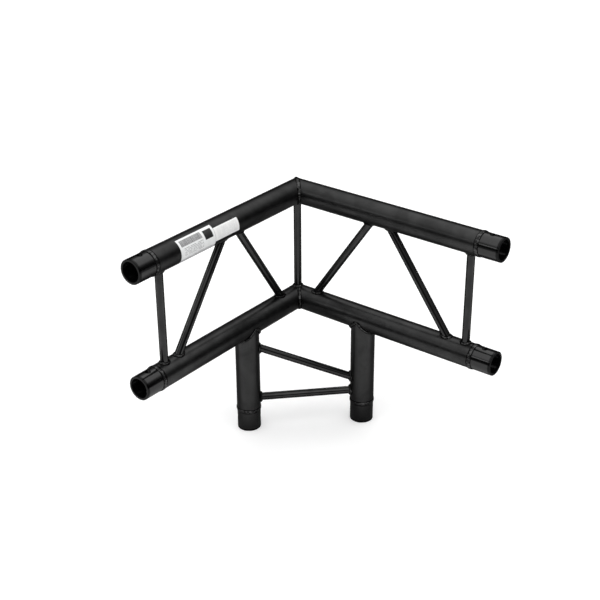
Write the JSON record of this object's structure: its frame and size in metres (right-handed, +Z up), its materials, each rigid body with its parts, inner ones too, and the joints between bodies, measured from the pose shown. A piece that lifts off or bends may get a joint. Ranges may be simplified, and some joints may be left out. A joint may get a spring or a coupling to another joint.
{
  "type": "three-way corner truss section",
  "caption": "Three-way right-angle corner of ladder lighting truss: two upright ladder arms and a short leg ladder, with conical coupler sockets at the ends.",
  "frame": {"origin": "midway between the mouths of the two leg sockets, where the leg ladder joins an upright section", "axes": "+X along the right arm, away from the corner; -Y along the left arm, away from the corner; +Z up, along the legs and posts"},
  "size_m": [0.5077, 0.5077, 0.5063],
  "materials": {
    "main_tube_coat": "black satin powder coat over aluminium tube",
    "brace_tube_coat": "black satin powder coat over aluminium tube",
    "coupler_coat": "black semi-gloss coat over turned aluminium",
    "weld_beads": "black satin powder coat over weld ripples",
    "large_sticker": "white satin vinyl with plain grey bars",
    "small_sticker": "plain white satin vinyl"
  },
  "bodies": {
    "root": {"corner_post": "brace_tube_coat", "corner_post_lower_weld": "weld_beads", "corner_post_upper_weld": "weld_beads", "large_sticker": "large_sticker", "left_end_post": "brace_tube_coat", "left_end_post_lower_weld": "weld_beads", "left_end_post_upper_weld": "weld_beads", "left_inner_diagonal": "brace_tube_coat", "left_inner_diagonal_lower_weld": "weld_beads", "left_inner_diagonal_upper_weld": "weld_beads", "left_leg_coupler": "coupler_coat", "left_leg_coupler_weld": "weld_beads", "left_leg_tube": "main_tube_coat", "left_leg_weld": "weld_beads", "left_outer_diagonal": "brace_tube_coat", "left_outer_diagonal_lower_weld": "weld_beads", "left_outer_diagonal_upper_weld": "weld_beads", "leg_diagonal": "brace_tube_coat", "leg_diagonal_left_weld": "weld_beads", "leg_diagonal_right_weld": "weld_beads", "leg_rung": "brace_tube_coat", "leg_rung_left_weld": "weld_beads", "leg_rung_right_weld": "weld_beads", "lower_corner_weld": "weld_beads", "lower_left_chord": "main_tube_coat", "lower_left_coupler": "coupler_coat", "lower_left_coupler_weld": "weld_beads", "lower_right_chord": "main_tube_coat", "lower_right_coupler": "coupler_coat", "lower_right_coupler_weld": "weld_beads", "right_end_post": "brace_tube_coat", "right_end_post_lower_weld": "weld_beads", "right_end_post_upper_weld": "weld_beads", "right_inner_diagonal": "brace_tube_coat", "right_inner_diagonal_lower_weld": "weld_beads", "right_inner_diagonal_upper_weld": "weld_beads", "right_leg_coupler": "coupler_coat", "right_leg_coupler_weld": "weld_beads", "right_leg_tube": "main_tube_coat", "right_leg_weld": "weld_beads", "right_outer_diagonal": "brace_tube_coat", "right_outer_diagonal_lower_weld": "weld_beads", "right_outer_diagonal_upper_weld": "weld_beads", "small_sticker": "small_sticker", "upper_corner_weld": "weld_beads", "upper_left_chord": "main_tube_coat", "upper_left_coupler": "coupler_coat", "upper_left_coupler_weld": "weld_beads", "upper_right_chord": "main_tube_coat", "upper_right_coupler": "coupler_coat", "upper_right_coupler_weld": "weld_beads"}
  },
  "joints": []
}
